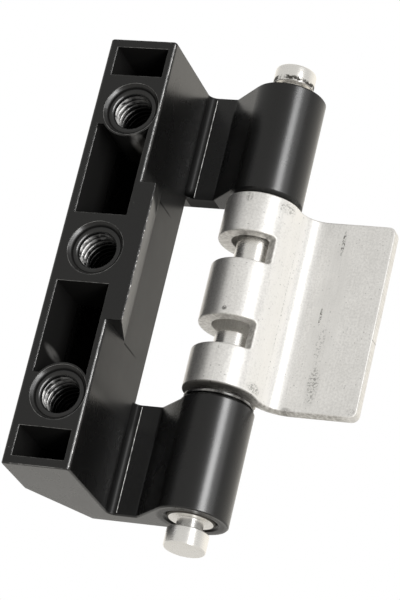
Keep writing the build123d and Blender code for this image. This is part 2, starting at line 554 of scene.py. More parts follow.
@dataclass(frozen=True)
class ZincPlate(Finish):
    """Satin zinc plating on rolled sheet: fine grain, draw lines, pits, a few dark scuff marks, a band of
    painted shade along the lower edge, duller cut edges.

    Where the sheet rolls into the eyes, its flank is rougher, and paler as painted light. Cut edges are less
    dulled at the plate's end, and in the slots they are lighter as painted light.
    """

    colour: float = 0.90
    spread: float = 0.09
    warm: Pair = (0.035, 0.03)
    gloss: float = 0.41
    grain: Triple = (0.30 * MM, 4.0, 0.7)
    drawn: Pair = (0.22 * MM, 2.0)
    draw_stretch: Triple = (1.0, 0.06, 1.0)
    cloud: Pair = (4.0 * MM, 3.0)
    shares: Triple = (3.4, 1.0, 0.9)
    relief: Pair = (0.6, 0.4)
    relief_depth: float = 0.010 * MM
    grain_rough: float = 0.16
    pits: Triple = (0.45 * MM, 0.28, 0.30)
    pit_runs: Pair = (0.38, 0.58)
    pit_strength: float = 0.32
    # Dark marks: scuff marks, and a band of painted shade along the lower edge
    scuffs_and_shade: tuple[Mark, ...] = ()
    mark_core: float = 0.1
    mark_runs: Pair = (0.48, 0.60)
    scuff_and_shade_colour: Colour = grey(0.10, 0.1)
    mark_rough: float = 0.2
    bottom: float = -13.1 * MM
    flank: float = 15.5 * MM
    flank_reach: float = 3.1 * MM
    flank_core: float = 0.35
    # The flank's colour is made paler: painted light
    flank_painted_light: float = 0.6
    flank_rough: float = 0.24
    edge_colour: Colour = grey(0.36, 0.12)
    edge_rough: float = 0.12
    edge_dull: Pair = (0.3, 0.5)
    # Cut edges in the slots are dulled less, so they are lighter: painted light
    slot_painted_light: Pair = (0.28, 0.14)
    slot_rise: Pair = (0.6 * MM, 1.2 * MM)
    fleck: Pair = (0.45 * MM, 3.0)
    fleck_runs: Pair = (0.34, 0.64)
    end_dull: float = 0.25
    end_reach: Pair = (0.5 * MM, 3.0 * MM)

    def sockets(self, kit: NodeKit) -> Sockets:
        """The shader's inputs.

        Args:
            kit: adds nodes to the material.

        Returns:
            A value, number or colour for each input.
        """
        sheet = kit.place(Chart.SHEET)
        along, up = kit.axis(sheet, "X"), kit.axis(sheet, "Y")
        grain = kit.noise(sheet, *self.grain)
        drawn = kit.noise(kit.place(Chart.SHEET, self.draw_stretch), *self.drawn)
        cloud = kit.noise(sheet, *self.cloud)
        wear_and_painted_light = kit.specks(sheet, *self.pits) * cloud.between(*self.pit_runs) * self.pit_strength
        for mark in self.scuffs_and_shade:
            patch = grain.between(*(run - mark.cover for run in self.mark_runs)) * mark.strength
            wear_and_painted_light = wear_and_painted_light + nearness((along, up), mark.middle, mark.reach, self.mark_core) * patch
        flank = nearness((along,), (self.flank,), (self.flank_reach,), self.flank_core)
        shade = sum((pattern - 0.5) * share for pattern, share in zip((grain, drawn, cloud), self.shares))
        dark, bright = (grey(self.colour + sign * self.spread, w) for sign, w in zip((-1, 1), self.warm))
        clean = kit.tint(0.5 + shade + self.flank_painted_light * flank, dark, bright)

        # Cut edges, lighter in the slots as painted light
        edge = kit.layer("cut_edge")
        fleck = kit.noise(kit.place(), *self.fleck).between(*self.fleck_runs)
        slot = (along > self.flank) * up.between(*(self.bottom + rise for rise in self.slot_rise))
        even, uneven = (dull - less * slot for dull, less in zip(self.edge_dull, self.slot_painted_light))
        ended = self.end_dull + (1.0 - self.end_dull) * along.between(*self.end_reach)
        sheared = kit.tint(edge * (even + uneven * fleck) * ended, clean, self.edge_colour)
        rough = self.grain_rough * (grain - 0.5) + self.edge_rough * edge
        return {
            "Base Color": kit.tint(wear_and_painted_light, sheared, self.scuff_and_shade_colour),
            "Metallic": 1.0,
            "Roughness": self.gloss + rough + self.mark_rough * wear_and_painted_light + self.flank_rough * flank,
            "Normal": kit.bump(grain * self.relief[0] + drawn * self.relief[1], self.relief_depth),
        }


@dataclass(frozen=True)
class TurnedSteel(Finish):
    """Bright turned steel: fine rings from the tool, blotches, a dark blotchy band, and painted shade about a
    seat.
    """

    colour: float = 0.85
    spread: float = 0.12
    warm: float = 0.03
    gloss: float = 0.24
    rings: Triple = (0.16 * MM, 3.0, 0.6)
    ring_stretch: Triple = (1.0, 0.0, 0.0)
    ring_share: float = 0.5
    ring_rough: float = 0.12
    ring_depth: float = 0.004 * MM
    blotch: Triple = (0.9 * MM, 4.0, 0.65)
    blotch_share: float = 0.35
    blotch_rough: float = 0.06
    # Dark colour of the blotchy band, and of the painted shade about a seat
    grime: Colour = grey(0.045, 0.25)
    grime_and_shade_rough: float = 0.35
    grime_and_shade_cover: float = 0.9
    band: Pair | None = None
    band_core: float = 0.2
    band_runs: Pair = (0.42, 0.52)
    seat: Pair | None = None
    seat_fade: float = 0.06 * MM
    axle: Pair = (0.0, 0.0)

    def sockets(self, kit: NodeKit) -> Sockets:
        """The shader's inputs.

        Args:
            kit: adds nodes to the material.

        Returns:
            A value, number or colour for each input.
        """
        point = kit.place()
        rings = kit.noise(kit.place(Chart.SHEET, self.ring_stretch), *self.rings)
        blotch = kit.noise(point, *self.blotch)
        grime = self._grime(kit, point, blotch)
        share = 0.5 + (rings - 0.5) * self.ring_share + (blotch - 0.5) * self.blotch_share
        dark, bright = (grey(self.colour + sign * self.spread, self.warm) for sign in (-1, 1))
        rough = self.ring_rough * (rings - 0.5) + self.blotch_rough * (blotch - 0.5)
        return {
            "Base Color": kit.tint(grime, kit.tint(share, dark, bright), self.grime),
            "Metallic": 1.0 - grime * self.grime_and_shade_cover,
            "Roughness": self.gloss + rough + self.grime_and_shade_rough * grime,
            "Normal": kit.bump(rings, self.ring_depth),
        }

    def _grime(self, kit: NodeKit, point: Value, blotch: Value) -> Value | float:
        """Where it is darkened: a blotchy band, and painted shade about a seat.

        Args:
            kit: adds nodes to the material.
            point: where the surface is.
            blotch: the noise that breaks up the band.

        Returns:
            One in the band between two heights, and from a seat's height outwards beyond its radius.
        """
        grime = 0.0
        if self.band is not None:
            low, high = self.band
            z = kit.axis(point, "Z")
            band = nearness((z,), ((low + high) / 2,), ((high - low) / 2,), self.band_core)
            grime = grime + band * blotch.between(*self.band_runs)
        if self.seat is not None:
            height, radius = self.seat
            x, y, z = (kit.axis(point, name) for name in "XYZ")
            out = squares((x - self.axle[0], y - self.axle[1])) ** 0.5
            grime = grime + out.between(radius, radius + self.seat_fade) * (z.size() > height)
        return grime


@dataclass(frozen=True)
class PaleFloor(Finish):
    """Matt, nearly white floor with a barely visible mottle."""

    dark: Colour = grey(0.90, 0.01)
    bright: Colour = grey(0.94, 0.01)
    mottle: float = 80.0 * MM
    dull: float = 0.9

    def sockets(self, kit: NodeKit) -> Sockets:
        mottle = kit.noise(kit.place(), self.mottle)
        return {"Base Color": kit.tint(mottle, self.dark, self.bright), "Roughness": self.dull}


@dataclass
class Surface:
    """Points and faces of one piece, before it becomes a mesh."""

    points: np.ndarray
    quads: np.ndarray
    triangles: np.ndarray = field(default_factory=lambda: np.empty((0, 3), int))
    uv: np.ndarray | None = None
    layers: dict[str, np.ndarray] = field(default_factory=dict)

    def piece(self, name: str, body: Body, slot: Slot, finish: Finish) -> bpy.types.Object:
        """Makes the object, turns its faces outwards, and lets it ride on its body.

        Args:
            name: the piece's name.
            body: the body that it moves with.
            slot: the record's material slot; not used.
            finish: what it is covered with.

        Returns:
            The new object, at the origin.
        """
        mesh = bpy.data.meshes.new(name)
        mesh.from_pydata(self.points.tolist(), [], self.quads.tolist() + self.triangles.tolist())
        shell = bmesh.new()
        shell.from_mesh(mesh)
        bmesh.ops.recalc_face_normals(shell, faces=shell.faces)
        shell.to_mesh(mesh)
        shell.free()
        mesh.shade_smooth()
        self._store(mesh)
        mesh.materials.append(finish.material())
        made = bpy.data.objects.new(name, mesh)
        bpy.context.scene.collection.objects.link(made)
        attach(made, body.value)
        LOG.info("%s: %d points, %d faces, on %s", name, len(mesh.vertices), len(mesh.polygons), body.value)
        return made

    @classmethod
    def joined(cls, parts: Sequence["Surface"]) -> "Surface":
        """Joins several surfaces that have the same layers and no UV map.

        Args:
            parts: the surfaces.

        Returns:
            One surface of them all.
        """
        starts = np.cumsum([0] + [len(part.points) for part in parts[:-1]])
        return cls(
            np.concatenate([part.points for part in parts]),
            np.concatenate([part.quads + start for part, start in zip(parts, starts)]),
            np.concatenate([part.triangles + start for part, start in zip(parts, starts)]),
            layers={name: np.concatenate([part.layers[name] for part in parts]) for name in parts[0].layers},
        )

    def _store(self, mesh: bpy.types.Mesh) -> None:
        """Copies the UV map and the layers into a mesh.

        Args:
            mesh: a mesh with the surface's points.
        """
        for name, layer in self.layers.items():
            store = mesh.attributes.new(name, "FLOAT", "POINT")
            store.data.foreach_set("value", layer.astype(np.float32))
        if self.uv is not None:
            corners = np.empty(len(mesh.loops), np.int32)
            mesh.loops.foreach_get("vertex_index", corners)
            chart = mesh.uv_layers.new(name="surface")
            chart.data.foreach_set("uv", self.uv[corners].astype(np.float32).ravel())


def grid_quads(number: np.ndarray) -> np.ndarray:
    """Quads between neighbouring rows and columns of point numbers."""
    corners = [number[:-1, :-1], number[1:, :-1], number[1:, 1:], number[:-1, 1:]]
    return np.stack(corners, axis=-1).reshape(-1, 4)


def strip_quads(rows: int, columns: int, close_rows: bool, close_columns: bool) -> np.ndarray:
    """Quads of a grid of points numbered row by row.

    Args:
        rows: how many rows.
        columns: how many points in a row.
        close_rows: whether the last row joins the first.
        close_columns: whether a row's last point joins its first.

    Returns:
        An array of four point numbers for each quad.
    """
    number = np.arange(rows * columns).reshape(rows, columns)
    number = np.concatenate([number, number[:1]]) if close_rows else number
    return grid_quads(np.concatenate([number, number[:, :1]], axis=1) if close_columns else number)


def fan(tip: int, ring: np.ndarray) -> np.ndarray:
    """Triangles from one point to each side of a closed ring of points."""
    return np.stack([np.full(len(ring), tip), ring, np.roll(ring, -1)], axis=1)


def rounded_profile(corners: np.ndarray, radii: np.ndarray, steps: int) -> np.ndarray:
    """Replaces the inner corners of an open outline by arcs.

    Each arc touches both sides at the radius times the tangent of half the turn, and its points swing
    from one side's normal to the other's.

    Args:
        corners: the outline's points, ends included.
        radii: one radius for each inner corner.
        steps: points on each arc.

    Returns:
        The outline's points, with arcs.
    """
    before, after = np.diff(corners, axis=0)[:-1], np.diff(corners, axis=0)[1:]
    before = before / np.linalg.norm(before, axis=1, keepdims=True)
    after = after / np.linalg.norm(after, axis=1, keepdims=True)
    cross = before[:, 0] * after[:, 1] - before[:, 1] * after[:, 0]
    turn = np.arctan2(np.abs(cross), (before * after).sum(1))
    side = np.sign(cross)[:, None] * np.stack([-before[:, 1], before[:, 0]], axis=1)
    start = corners[1:-1] - before * (radii * np.tan(turn / 2))[:, None]
    centre = start + side * radii[:, None]
    swing = turn[:, None, None] * np.linspace(0, 1, steps)[None, :, None]
    spoke = np.sin(swing) * before[:, None] - np.cos(swing) * side[:, None]
    arcs = centre[:, None] + radii[:, None, None] * spoke
    return np.concatenate([corners[:1], arcs.reshape(-1, 2), corners[-1:]])


def arc_length(points: np.ndarray) -> np.ndarray:
    """How far each point lies along its line."""
    return np.concatenate([[0.0], np.cumsum(np.linalg.norm(np.diff(points, axis=0), axis=1))])


def smoothed(draw: np.random.Generator, count: int, window: np.ndarray) -> np.ndarray:
    """Random numbers from zero to one, each a mean of neighbouring draws, weighted by a window."""
    return np.convolve(draw.random(count + len(window) - 1), window / window.sum(), "valid")


def hole_ring(radius: float, depth: float, height: float, count: int) -> np.ndarray:
    """Points of a circle about a hole: a radius times each angle's cosine along X and sine along Z."""
    turn = np.linspace(0, FULL_TURN, count, endpoint=False)
    return np.stack([radius * np.cos(turn), np.full(count, depth), height + radius * np.sin(turn)], axis=1)


def bead(path: np.ndarray, radius: np.ndarray, closed: bool = False, sides: int = 8) -> Surface:
    """A thin round line along a path that never runs along Y.

    Each section is a circle, spanned by Y and by the direction across both Y and the path. An open line's
    ends are closed by triangles to the path's end points.

    Args:
        path: points along the line.
        radius: the line's radius at each point.
        closed: whether the last point joins the first.
        sides: points round a section.

    Returns:
        The closed line.
    """
    ahead = np.roll(path, -1, axis=0) - np.roll(path, 1, axis=0) if closed else np.gradient(path, axis=0)
    outward = np.array([0.0, 1.0, 0.0])
    across = np.cross(ahead, outward)
    across /= np.linalg.norm(across, axis=1, keepdims=True)
    angle = np.linspace(0, FULL_TURN, sides, endpoint=False)[None, :, None]
    spoke = np.cos(angle) * outward + np.sin(angle) * across[:, None]
    points = (path[:, None] + radius[:, None, None] * spoke).reshape(-1, 3)
    quads = strip_quads(len(path), sides, closed, True)
    if closed:
        return Surface(points, quads)
    count, ring = len(points), np.arange(sides)
    fans = [fan(count, ring[::-1]), fan(count + 1, count - sides + ring)]
    return Surface(np.concatenate([points, path[[0, -1]]]), quads, np.concatenate(fans))


@dataclass
class Axle:
    """The pin axis, which the leaf and both pins share."""

    x: float
    y: float

    @classmethod
    def of_joint(cls, name: str) -> "Axle":
        """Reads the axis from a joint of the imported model."""
        joint = next(j for j in frame["joints"] if j["name"] == name)
        return cls(*joint["pos_m"][:2])

    def lathe(self, outline: np.ndarray, segments: int) -> Surface:
        """Turns an outline of radius and height about the axis.

        A point at radius r and height z goes to r times the cosine and sine of each angle, at z. An end on
        the axis is one point, joined to its ring by triangles.

        Args:
            outline: radius and height of each point.
            segments: points round the axis.

        Returns:
            The turned surface, with the distance along the outline and round the axis as its UV map.
        """
        angle = np.linspace(0, FULL_TURN, segments, endpoint=False)
        capped = outline[0, 0] == 0
        kept = slice(1, -1) if capped else slice(None)
        radius, height = outline[kept, :1], outline[kept, 1:]
        along = arc_length(outline)
        grid = np.broadcast_arrays(self.x + radius * np.cos(angle), self.y + radius * np.sin(angle), height)
        points = np.stack(grid, axis=-1).reshape(-1, 3)
        uv = np.stack(np.broadcast_arrays(along[kept, None], radius * angle), axis=-1).reshape(-1, 2)
        quads = strip_quads(len(radius), segments, not capped, True)
        if not capped:
            return Surface(points, quads, uv=uv)
        count, ring = len(points), np.arange(segments)
        fans = [fan(count, ring), fan(count + 1, count - segments + ring[::-1])]
        points = np.concatenate([points, [[self.x, self.y, z] for z in outline[[0, -1], 1]]])
        uv = np.concatenate([uv, [[along[0], 0.0], [along[-1], 0.0]]])
        return Surface(points, quads, np.concatenate(fans), uv)


@dataclass
class Casting:
    """The bracket: its CAD node, painted, with threads and lips in its holes and flash on its stop rib.

    Thin lines of pale metal along its front edge and the arms' roots, and fainter ones round its pockets,
    the bar's ends and its holes' mouths, are painted highlights on the edges.
    """

    axle: Axle
    hole_pitch: float = 20.0 * MM
    thread_root: float = 3.0 * MM
    thread_crest: float = 2.5 * MM
    thread_pitch: float = 1.0 * MM
    thread_start: float = 1.2 * MM
    thread_end: float = 8.6 * MM
    thread_steps: int = 72
    crest_width: float = 0.26 * MM
    root_width: float = 0.92 * MM
    seat: float = 0.03 * MM
    lit_side: float = np.radians(160.0)
    least_lit: float = 0.15
    lip_radius: float = 3.0 * MM
    lip_depth: float = 1.05 * MM
    lip_size: float = 0.52 * MM
    lip_steps: int = 96
    lip_sides: int = 12
    rib_x: float = 6.05 * MM
    rib_length: float = 19.3 * MM
    flash_reach: float = 0.24 * MM
    flash_root: float = 0.10 * MM
    flash_depths: Triple = (0.02 * MM, 0.05 * MM, 0.20 * MM)
    flash_inset: float = 0.4 * MM
    flash_steps: int = 260
    flash_windows: tuple[int, int] = (17, 5)
    flash_runs: Pair = (-0.75, 2.2)
    flash_least: float = 0.05
    flash_even: float = 0.35
    rub: float = 0.055 * MM
    faint_highlight_radius: float = 0.05 * MM
    highlight_step: float = 0.12 * MM
    highlight_window: int = 9
    highlight_runs: Pair = (0.55, 0.9)
    rib_gap: float = 0.3 * MM
    bar_end: float = 29.75 * MM
    end_gap: float = 0.26 * MM
    bar_edge: Pair = (3.87 * MM, 0.18 * MM)
    root_edge: Pair = (5.05 * MM, 15.23 * MM)
    arm_inner: float = 15.1 * MM
    pocket_sides: Pair = (-4.05 * MM, 3.15 * MM)
    pocket_sink: float = 1.5
    end_pocket: Pair = (24.8 * MM, 29.0 * MM)
    long_pocket: Pair = (4.8 * MM, 17.0 * MM)
    mouth_radius: float = 3.77 * MM
    mouth_steps: int = 160
    mouth_window: int = 15
    mouth_runs: Pair = (-0.55, 2.6)
    mouth_sizes: Pair = (0.5, 0.98)
    seed: int = 7

    def holes(self) -> dict[str, float]:
        """Each hole's name and its place along Z."""
        return {"upper": self.hole_pitch, "middle": 0.0, "lower": -self.hole_pitch}

    def dress(self) -> None:
        """Paints the CAD node and adds the threads with their lips, the flash and the lines of painted
        highlight.
        """
        paint(frame["nodes"]["bracket"], BlackPaint("black_paint", axle=(self.axle.x, self.axle.y)))
        coat = ThreadCoat("thread_coat")
        for name, height in self.holes().items():
            threaded = Surface.joined([self.thread(height), self.lip(height)])
            threaded.piece(f"{name}_thread", Body.BRACKET, Slot.PAINT, coat)
        chipped = EdgeChipsAndHighlights(
            "cast_flash",
            level=0.42,
            metal=0.6,
            least=0.0,
            patch=(0.35 * MM, 3.0),
            runs=(0.50, 0.64),
            dull=0.5,
        )
        self.flash().piece("rib_flash", Body.BRACKET, Slot.PAINT, chipped)
        # Pale lines along the bar's front edge and the arms' roots: painted highlights
        self.highlight_lines().piece("rubbed_edges", Body.BRACKET, Slot.PAINT, EdgeChipsAndHighlights("rubbed_edge"))
        # Fainter lines round the pockets, the bar's ends and the holes' mouths: painted highlights
        thin = EdgeChipsAndHighlights("thin_coat_edge", level=0.10, metal=0.2, least=0.2)
        self.outlines().piece("pocket_edges", Body.BRACKET, Slot.PAINT, thin)

    def lip(self, height: float) -> Surface:
        """The rounded lip where a hole's countersink meets its thread.

        Args:
            height: the hole's place along Z.

        Returns:
            A ring of round section about the hole.
        """
        ring = hole_ring(self.lip_radius, self.lip_depth, height, self.lip_steps)
        made = bead(ring, np.full(self.lip_steps, self.lip_size), closed=True, sides=self.lip_sides)
        made.layers["crest"] = np.zeros(len(made.points))
        return made

    def line(self, start: Triple, end: Triple, rub: float) -> Surface:
        """A line of painted highlight from one point to another, whose radius wavers by smoothed random
        steps.

        Args:
            start: where it starts.
            end: where it ends.
            rub: its radius before it wavers.

        Returns:
            The closed line.
        """
        count = 2 + int(np.linalg.norm(np.subtract(end, start)) / self.highlight_step)
        waver = smoothed(np.random.default_rng(self.seed), count, np.ones(self.highlight_window))
        least, more = self.highlight_runs
        return bead(np.linspace(start, end, count), rub * (least + more * waver))

    def highlight_lines(self) -> Surface:
        """The lines of painted highlight along the bar's front edge, above and below the rib, and along both
        arms' roots.

        Returns:
            All the lines as one surface.
        """
        spans = ((self.bar_edge, self.rib_length / 2 + self.rib_gap), (self.root_edge, self.arm_inner))
        lines = [
            self.line((x, y, side * start), (x, y, side * self.bar_end), self.rub)
            for (x, y), start in spans
            for side in (1, -1)
        ]
        return Surface.joined(lines)

    def outlines(self) -> Surface:
        """The thin lines of painted highlight on the mounting face: round pockets and holes' mouths, and at
        the bar's ends.

        Returns:
            All the lines as one surface.
        """
        left, right = self.pocket_sides
        y = self.pocket_sink * self.faint_highlight_radius
        spans = []
        for side in (1, -1):
            for low, high in (self.end_pocket, self.long_pocket):
                spans += [((x, y, side * low), (x, y, side * high)) for x in (left, right)]
                spans += [((left, y, side * low), (right, y, side * low))]
            ends = side * self.end_pocket[1], side * (self.bar_end + self.end_gap)
            spans += [((left, y, height), (right, y, height)) for height in ends]
        lines = [self.line(start, end, self.faint_highlight_radius) for start, end in spans]
        return Surface.joined(lines + [self.mouth(height) for height in self.holes().values()])

    def mouth(self, height: float) -> Surface:
        """The broken ring of painted highlight round a hole's mouth, which sinks into the edge where its
        wavering radius is small.

        Args:
            height: the hole's place along Z.

        Returns:
            The closed ring.
        """
        window = self.mouth_window
        drawn = np.random.default_rng(self.seed).random(self.mouth_steps)
        drawn = np.concatenate([drawn, drawn[: window - 1]])
        waver = np.convolve(drawn, np.full(window, 1 / window), "valid")
        least, more = self.mouth_runs
        size = self.faint_highlight_radius * np.clip(least + more * waver, *self.mouth_sizes)
        return bead(hole_ring(self.mouth_radius, self.faint_highlight_radius, height, self.mouth_steps), size, closed=True)

    def thread(self, height: float) -> Surface:
        """The thread's ridge in one hole.

        A trapezoid, seated in the wall and coming to a narrow crest, is carried along a helix: the depth
        grows by one pitch in each turn, and the crest rises from the wall over the first and last half turn.
        The crest layer, which the coat turns to paler metal, is strongest on the lit side, by the square of
        the
        cosine of the angle to it: a painted highlight.

        Args:
            height: the hole's place along Z.

        Returns:
            The closed ridge.
        """
        turns = (self.thread_end - self.thread_start) / self.thread_pitch
        angle = np.linspace(0, FULL_TURN * turns, int(self.thread_steps * turns))[:, None]
        ends = np.clip(np.minimum(angle, angle[-1] - angle) / np.pi, 0, 1)
        rise = ends * ends * (3 - 2 * ends)
        root = np.full_like(rise, self.thread_root + self.seat)
        crest = root - (root - self.thread_crest) * rise
        radius = np.concatenate([root, crest, crest, root], axis=1)
        width = np.array([-self.root_width, -self.crest_width, self.crest_width, self.root_width]) / 2
        depth = self.thread_start + self.thread_pitch * angle / FULL_TURN + width[None, :]
        points = np.stack([radius * np.cos(angle), depth, height - radius * np.sin(angle)], axis=-1)
        last = 4 * len(angle) - 1
        caps = [[0, 1, 2, 3], [last, last - 1, last - 2, last - 3]]
        quads = np.concatenate([strip_quads(len(angle), 4, False, True), caps])
        # Crests facing the lit side get the paler metal: painted highlight
        facing = np.clip(np.cos(angle - self.lit_side), 0, 1) ** 2
        lit = rise * (self.least_lit + (1 - self.least_lit) * facing)
        wear_and_painted_light = np.concatenate([np.zeros_like(lit), lit, lit, np.zeros_like(lit)], axis=1)
        return Surface(points.reshape(-1, 3), quads, layers={"crest": wear_and_painted_light.ravel()})

    def flash(self) -> Surface:
        """The ragged flash along the stop rib's front edge.

        A thin triangle is carried along the edge, and its tip stands out by smoothed random steps.

        Returns:
            The closed strip.
        """
        draw = np.random.default_rng(self.seed)
        count = self.flash_steps
        coarse, fine = (smoothed(draw, count, np.hanning(window)) for window in self.flash_windows)
        least, more = self.flash_runs
        ragged = self.flash_even + (1 - self.flash_even) * fine
        reach = self.flash_reach * np.clip(least + more * coarse, self.flash_least, 1) * ragged
        foot = np.full(count, -self.flash_root)
        x = self.rib_x + np.stack([foot, reach, foot], axis=1)
        z = np.linspace(-0.5, 0.5, count)[:, None] * (self.rib_length - self.flash_inset)
        points = np.stack(np.broadcast_arrays(x, np.array(self.flash_depths), z), axis=-1).reshape(-1, 3)
        last = 3 * count - 1
        ends = np.array([[0, 1, 2], [last, last - 1, last - 2]])
        return Surface(points, strip_quads(count, 3, False, True), ends)


@dataclass
class RolledLeaf:
    """The leaf: one sheet, flat at the door, bent, and slotted into three fingers that roll into eyes.

    The sheet is a flat chart of two lengths, along its middle line from the plate's end to the eyes' tips
    and up the pins. The chart is a grid, wrapped on the middle line and offset to both faces, and a rim of
    rounded section runs once round its outline.
    """

    axle: Axle
    sheet: float = 1.8 * MM
    bore: float = 3.25 * MM
    plate_set: float = 0.3 * MM
    bend_radius: float = 3.2 * MM
    end_eye: float = 5.6 * MM
    slot_height: float = 3.85 * MM
    slot_angle: float = np.radians(-40.0)
    tip_gap: float = np.radians(4.0)
    slot_corner: float = 0.45 * MM
    plate_corner: float = 1.0 * MM
    edge: float = 0.22 * MM
    rim_steps: int = 5
    corner_steps: int = 7
    plate_steps: int = 18
    bend_steps: int = 28
    flank_steps: int = 14
    finger_steps: int = 76
    slot_steps: int = 6
    end_eye_steps: int = 8
    middle_eye_steps: int = 12

    def __post_init__(self) -> None:
        """Works out the middle line's arcs from the sizes, and the leaf's reach from its CAD box."""
        low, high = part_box("leaf")
        self.low, self.high, self.end_x = low.z, high.z, high.x
        self.eye_radius = self.bore + self.sheet / 2
        self.bend_middle = self.bend_radius + self.sheet / 2
        self.plate_y = self.axle.y + self.eye_radius - self.plate_set
        self.bend_y = self.plate_y - self.bend_middle
        apart = self.eye_radius + self.bend_middle
        self.turn = np.arcsin((self.bend_y - self.axle.y) / apart)
        self.bend_x = self.axle.x + apart * np.cos(self.turn)
        hull = np.arcsin((self.bend_radius + self.sheet) / apart) + self.turn
        self.bend_at = self.end_x - self.bend_x
        self.eye_at = self.bend_at + self.bend_middle * (np.pi / 2 + self.turn)
        self.slot_at = self.eye_at + self.eye_radius * (self.turn - self.slot_angle)
        self.tip_at = self.eye_at + self.eye_radius * (FULL_TURN + self.turn - hull - self.tip_gap)

    def wrap(self, along: np.ndarray, up: np.ndarray, out: np.ndarray) -> np.ndarray:
        """Places chart points in space.

        The middle line runs straight to the bend, turns round the bend's centre, then winds the other way
        round the pin axis. A point stands off it along the normal that faces the mounting side.

        Args:
            along: length along the middle line.
            up: height.
            out: distance from the middle line.

        Returns:
            Points in the CAD frame.
        """
        bend = np.pi / 2 + np.clip(along - self.bend_at, 0, self.eye_at - self.bend_at) / self.bend_middle
        eye = self.turn - (along - self.eye_at) / self.eye_radius
        parts = [along < self.bend_at, along < self.eye_at]
        x = np.select(
            parts,
            [self.end_x - along, self.bend_x + (self.bend_middle - out) * np.cos(bend)],
            self.axle.x + (self.eye_radius + out) * np.cos(eye),
        )
        y = np.select(
            parts,
            [self.plate_y - out, self.bend_y + (self.bend_middle - out) * np.sin(bend)],
            self.axle.y + (self.eye_radius + out) * np.sin(eye),
        )
        return np.stack([x, y, up], axis=-1)

    def columns(self) -> tuple[np.ndarray, int]:
        """Where the chart's columns are.

        Returns:
            Their lengths, and the number of the column where the slots' straight sides start.
        """
        side_at = self.slot_at + self.slot_corner
        stretches = [
            np.linspace(self.edge, self.bend_at, self.plate_steps)[:-1],
            np.linspace(self.bend_at, self.eye_at, self.bend_steps)[:-1],
            np.linspace(self.eye_at, side_at, self.flank_steps),
            np.linspace(side_at, self.tip_at - self.edge, self.finger_steps)[1:],
        ]
        return np.concatenate(stretches), sum(len(s) for s in stretches[:3]) - 1

    def rows(self) -> tuple[np.ndarray, list[tuple[int, int]]]:
        """Where the chart's rows are: close together at the plate's corners and the slots'.

        Returns:
            Their heights, and the first and last row of each slot.
        """
        quarter = 1 - np.cos(np.linspace(0, np.pi / 2, self.corner_steps))
        corner = (self.plate_corner - self.edge) * quarter
        slot_corner = (self.slot_corner + self.edge) * quarter
        slot_low = self.low + self.end_eye
        lower_slot = (slot_low - self.edge, slot_low + self.slot_height + self.edge)
        upper_slot = (self.low + self.high - lower_slot[1], self.low + self.high - lower_slot[0])

        def slot_rows(ends: Pair) -> np.ndarray:
            """Rows of one slot, close together at its corners."""
            first, last = ends[0] + slot_corner, ends[1] - slot_corner[::-1]
            return np.concatenate([first, np.linspace(first[-1], last[0], self.slot_steps)[1:-1], last])

        bottom, top = self.low + self.edge + corner, self.high - self.edge - corner[::-1]
        pieces = [
            bottom,
            np.linspace(bottom[-1], lower_slot[0], self.end_eye_steps)[1:-1],
            slot_rows(lower_slot),
            np.linspace(lower_slot[1], upper_slot[0], self.middle_eye_steps)[1:-1],
            slot_rows(upper_slot),
            np.linspace(upper_slot[1], top[0], self.end_eye_steps)[1:-1],
            top,
        ]
        starts = np.cumsum([0] + [len(p) for p in pieces])
        slots = (2, 4)
        return np.concatenate(pieces), [(int(starts[k]), int(starts[k + 1]) - 1) for k in slots]

    def surface(self) -> Surface:
        """Both faces, which are the chart's grid without the slots, and the rim between them.

        Returns:
            The closed leaf.
        """
        columns, side = self.columns()
        rows, slots = self.rows()
        along, up = np.meshgrid(columns, rows)
        along = self._round_plate(along, up)
        present = np.ones(along.shape, bool)
        for first, last in slots:
            inner = slice(first + 1, last)
            present[inner, side + 1 :] = False
            along[inner] = self._round_slot(along[inner], up[inner], (rows[first], rows[last]), columns[side])
        number = np.where(present, np.cumsum(present).reshape(present.shape) - 1, -1)
        cells = grid_quads(number)
        cells = cells[(cells >= 0).all(1)]
        chart = np.stack([along[present], up[present]], axis=1)
        loop = self._outline(number, side, slots)
        rim, lift, turned = self._rim(chart[loop])
        count, out = len(chart), np.broadcast_to(lift[:, None], rim.shape[:2])
        face = np.full(count, self.sheet / 2)
        points = [
            self.wrap(chart[:, 0], chart[:, 1], face),
            self.wrap(chart[:, 0], chart[:, 1], -face),
            self.wrap(rim[..., 0], rim[..., 1], out).reshape(-1, 3),
        ]
        rings = 2 * count + np.arange(out.size).reshape(out.shape)
        belt = np.concatenate([loop[None], rings, count + loop[None]])
        rim_quads = grid_quads(np.concatenate([belt, belt[:, :1]], axis=1))
        quads = np.concatenate([cells, cells[:, ::-1] + count, rim_quads])
        uv = np.concatenate([chart, chart, rim.reshape(-1, 2)])
        cut = np.concatenate([np.zeros(2 * count), np.repeat(turned, len(loop))])
        return Surface(np.concatenate(points), quads, uv=uv, layers={"cut_edge": cut})

    def _rim(self, line: np.ndarray) -> tuple[np.ndarray, np.ndarray, np.ndarray]:
        """Rings of the rounded rim, from one face to the other.

        The outline's points move outwards by the edge radius times the sine, and towards the middle of the
        sheet by the edge radius less its cosine, of an angle from zero to a right angle.

        Args:
            line: the outline's chart points.

        Returns:
            Each ring's chart points, its distance from the middle line, and its angle's sine.
        """
        ahead = np.roll(line, -1, axis=0) - line
        ahead /= np.linalg.norm(ahead, axis=1, keepdims=True)
        normal = np.stack([ahead[:, 1], -ahead[:, 0]], axis=1)
        back = np.roll(normal, 1, axis=0)
        outward = (normal + back) / (1 + (normal * back).sum(1, keepdims=True))
        swing = np.linspace(0, np.pi / 2, self.rim_steps + 1)[1:]
        turned = np.concatenate([np.sin(swing), np.sin(swing)[::-1]])
        lift = self.sheet / 2 - self.edge * (1 - np.cos(swing))
        rings = line[None] + self.edge * turned[:, None, None] * outward[None]
        return rings, np.concatenate([lift, -lift[::-1]]), turned

